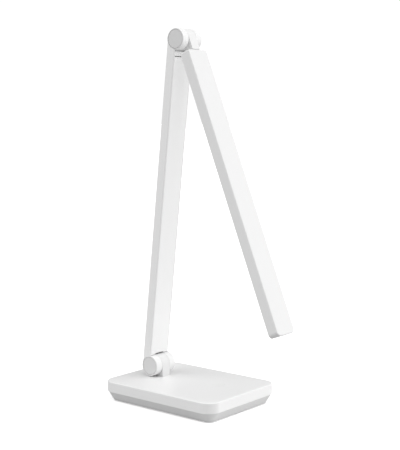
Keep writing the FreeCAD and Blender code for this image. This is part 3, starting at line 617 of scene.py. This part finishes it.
# head: shell, knuckle, inner cover and diffuser, modelled hanging straight down
head = {
    "length": 342 * mm, "width": 31 * mm, "thick": 12.4 * mm, "setForward": 0.25 * mm,
    "start": 17.8 * mm, "endRadius": 5.5 * mm, "startRadius": 1.5 * mm, "edgeRound": 1.2 * mm,
    "wall": 1.5 * mm, "sideWall": 2 * mm, "rimWall": 1.2 * mm, "cover": 2.2 * mm,
    "flatEnd": 16.4 * mm, "neckSink": 0.8 * mm, "gap": 0.15 * mm, "coverGap": 0.1 * mm,
    "footWidth": 24 * mm, "footEnd": 52 * mm, "footThick": 3 * mm, "window": 21.4 * mm,
    "windowCorner": 3 * mm, "windowLow": -333 * mm, "windowHigh": -55 * mm, "lip": 0.8 * mm,
    "lipThick": 1.5 * mm, "leastRound": 0.3 * mm, "windowSink": 0.1 * mm, "windowRound": 0.3 * mm,
    "footSpare": 2 * mm, "neckOverlap": 4 * mm, "tongueOverlap": 0.1 * mm,
}


def headBlock(inset, y):
    # outline of the head with its end corners rounded
    half = head["width"] / 2 - inset
    z = (-head["length"] + inset, -head["start"] - inset)
    bm = blockMesh(both(half), y, z)
    roundEdges(bm, edgesAlong(bm, 1, lambda m: m.z < z[0] + near), head["endRadius"] - inset, 16)
    return roundEdges(bm, edgesAlong(bm, 1, lambda m: m.z > z[1] - near),
                      max(head["startRadius"] - inset, head["leastRound"]), 5)


def makeHeadShell():
    outer = -head["setForward"] - head["thick"]
    bm = headBlock(0, (outer, -head["setForward"]))
    roundEdges(bm, edgesOn(bm, 1, outer), head["edgeRound"], 6)
    piece = toObject("headShell", bm)
    floor = outer + head["wall"]
    neck = hinge["tongue"] / 2 + head["gap"]
    cut(piece, [headBlock(head["sideWall"], (floor, far)),
                headBlock(head["rimWall"], (-head["setForward"] - head["cover"], far)),
                blockMesh(both(neck), (floor + head["neckSink"] - head["gap"], far),
                          (-head["start"] - 2 * head["sideWall"], far))])
    finishPiece(piece, "head", "head_white", ["head_shell"], atHead)


def windowBlock(spare, y):
    half = head["window"] / 2 + spare
    z = (head["windowLow"] - spare, head["windowHigh"] + spare)
    return roundedBlock(both(half), y, z, head["windowCorner"] + spare, 10, axis=1)


def makeHeadCover():
    back = -head["setForward"] - head["cover"]
    spare = head["coverGap"]
    bm = headBlock(head["rimWall"] + spare, (back, -head["setForward"]))
    piece = toObject("headInnerCover", bm)
    neck = hinge["tongue"] / 2 + head["gap"]
    cut(piece, [windowBlock(spare, both(far)),
                windowBlock(head["lip"] + spare, (-far, back + head["lipThick"])),
                blockMesh(both(neck), both(far), (-head["start"] - 2 * head["sideWall"], far))])
    finishPiece(piece, "head", "head_white", ["head_inner_cover"], atHead)


def makeDiffuser():
    back, face = -head["setForward"] - head["cover"], -head["setForward"] - head["windowSink"]
    bm = windowBlock(0, (back, face))
    roundEdges(bm, edgesOn(bm, 1, face), head["windowRound"], 4)
    piece = toObject("diffuser", bm)
    fuse(piece, [windowBlock(head["lip"], (back, back + head["lipThick"]))])
    finishPiece(piece, "head", "diffuser_opal", ["diffuser"], atHead, 0)


def makeKnuckle():
    floor = -head["setForward"] - head["thick"] + head["wall"]
    rear = -head["setForward"] - head["cover"] - head["gap"]
    start = -head["start"] - head["sideWall"] - head["footSpare"]
    piece = toObject("headKnuckle", tongueMesh(-head["setForward"], -head["flatEnd"]))
    neck = blockMesh(both(hinge["tongue"] / 2), (floor + head["neckSink"], rear),
                     (start - head["neckOverlap"], -head["flatEnd"] + head["tongueOverlap"]))
    foot = blockMesh(both(head["footWidth"] / 2), (floor, floor + head["footThick"]),
                     (-head["footEnd"], start))
    fuse(piece, [neck, foot])
    finishPiece(piece, "head", "hinge_white", ["head_knuckle"], atHead, hinge["soft"])


makeBaseTop()
makeBasePan()
makeFeet()
makeTouchKey()
makePost()
print("base pieces made")
makeStemChannel()
makeStemCover()
for end, z in (("lower", 0), ("upper", stemLength)):
    makeHingeHardware(end, z)
print("stem pieces made")
makeHeadShell()
makeHeadCover()
makeDiffuser()
makeKnuckle()
print("head pieces made")


# camera, floor and light
view = {
    "place": (-874.5 * mm, -740.9 * mm, 324.2 * mm), "yaw": 50.33, "down": 6.06,
    "lens": 82.2, "sensor": 36, "glow": 0.42, "backdrop": 1.05, "floorBounce": 0.45,
    "floorGlow": 0.3, "floorSize": 30, "clip": 0.05,
}
lights = {
    "frontRight": {"toward": (0.66, -0.74, 0.11), "power": 2.07, "spread": 80},
    "leftRear": {"toward": (-0.7, 0.4, 0.59), "power": 1.47, "spread": 60},
    "topFront": {"toward": (0, -0.5, 0.87), "power": 1.3, "spread": 60},
}


def makeCamera():
    camera = bpy.data.cameras.new("camera")
    camera.lens = view["lens"]
    camera.sensor_width = view["sensor"]
    camera.clip_start = view["clip"]
    stand = bpy.data.objects.new("camera", camera)
    stand.location = view["place"]
    stand.rotation_euler = (radians(90 - view["down"]), 0, radians(-view["yaw"]))
    bpy.context.scene.collection.objects.link(stand)
    bpy.context.scene.camera = stand


def makeFloor():
    # white to the eye, and a darker reflector to the lamp's under sides
    bm = bmesh.new()
    bmesh.ops.create_grid(bm, x_segments=1, y_segments=1, size=view["floorSize"])
    floor = toObject("floor", bm)
    material = mouldedMaterial("floorPaper", {"tone": (1, 1, 1), "rough": (0.8, 0.9),
                                              "grain": 300, "bump": 0.02, "drift": 0.995})
    tree = material.node_tree
    ray = addNode(tree, "ShaderNodeLightPath")
    dim = addNode(tree, "ShaderNodeBsdfDiffuse")
    dim.inputs["Color"].default_value = (*[view["floorBounce"]] * 3, 1)
    paper = tree.nodes["Principled BSDF"]
    paper.inputs["Emission Color"].default_value = (1, 1, 1, 1)
    paper.inputs["Emission Strength"].default_value = view["floorGlow"]
    mix = addNode(tree, "ShaderNodeMixShader")
    tree.links.new(ray.outputs["Is Camera Ray"], mix.inputs["Fac"])
    tree.links.new(dim.outputs["BSDF"], mix.inputs[1])
    tree.links.new(paper.outputs["BSDF"], mix.inputs[2])
    tree.links.new(mix.outputs["Shader"], tree.nodes["Material Output"].inputs["Surface"])
    floor.data.materials.append(material)


def makeSun(name, toward, power, spread):
    # soft studio light from one direction
    lamp = bpy.data.lights.new(name, "SUN")
    lamp.energy = power
    lamp.angle = radians(spread)
    stand = bpy.data.objects.new(name, lamp)
    stand.location = toward
    stand.rotation_euler = Vector(toward).to_track_quat("Z", "Y").to_euler()
    bpy.context.scene.collection.objects.link(stand)
    return stand


def shadeOnly(stand, names):
    # only these pieces shade this light, so the hanging head leaves the stem bright
    blockers = bpy.data.collections.new("blockers")
    for name in names:
        blockers.objects.link(bpy.data.objects[name])
    stand.light_linking.blocker_collection = blockers


def makeWorld():
    # white seen behind the lamp, softer white for its light
    world = bpy.data.worlds.new("studio")
    bpy.context.scene.world = world
    world.use_nodes = True
    tree = world.node_tree
    back = tree.nodes["Background"]
    back.inputs["Color"].default_value = (1, 1, 1, 1)
    ray = addNode(tree, "ShaderNodeLightPath")
    strength = addNode(tree, "ShaderNodeMapRange")
    strength.inputs["To Min"].default_value = view["glow"]
    strength.inputs["To Max"].default_value = view["backdrop"]
    tree.links.new(ray.outputs["Is Camera Ray"], strength.inputs["Value"])
    tree.links.new(strength.outputs["Result"], back.inputs["Strength"])


makeCamera()
makeFloor()
makeWorld()
suns = {name: makeSun(name, **light) for name, light in lights.items()}
shadeOnly(suns["frontRight"], ["baseTop", "basePan", "hingePost", "stemChannel",
                               "stemFrontCover", "lowerHingeCaps"])
bpy.context.scene.view_settings.view_transform = "Standard"
print("camera, floor and light set")
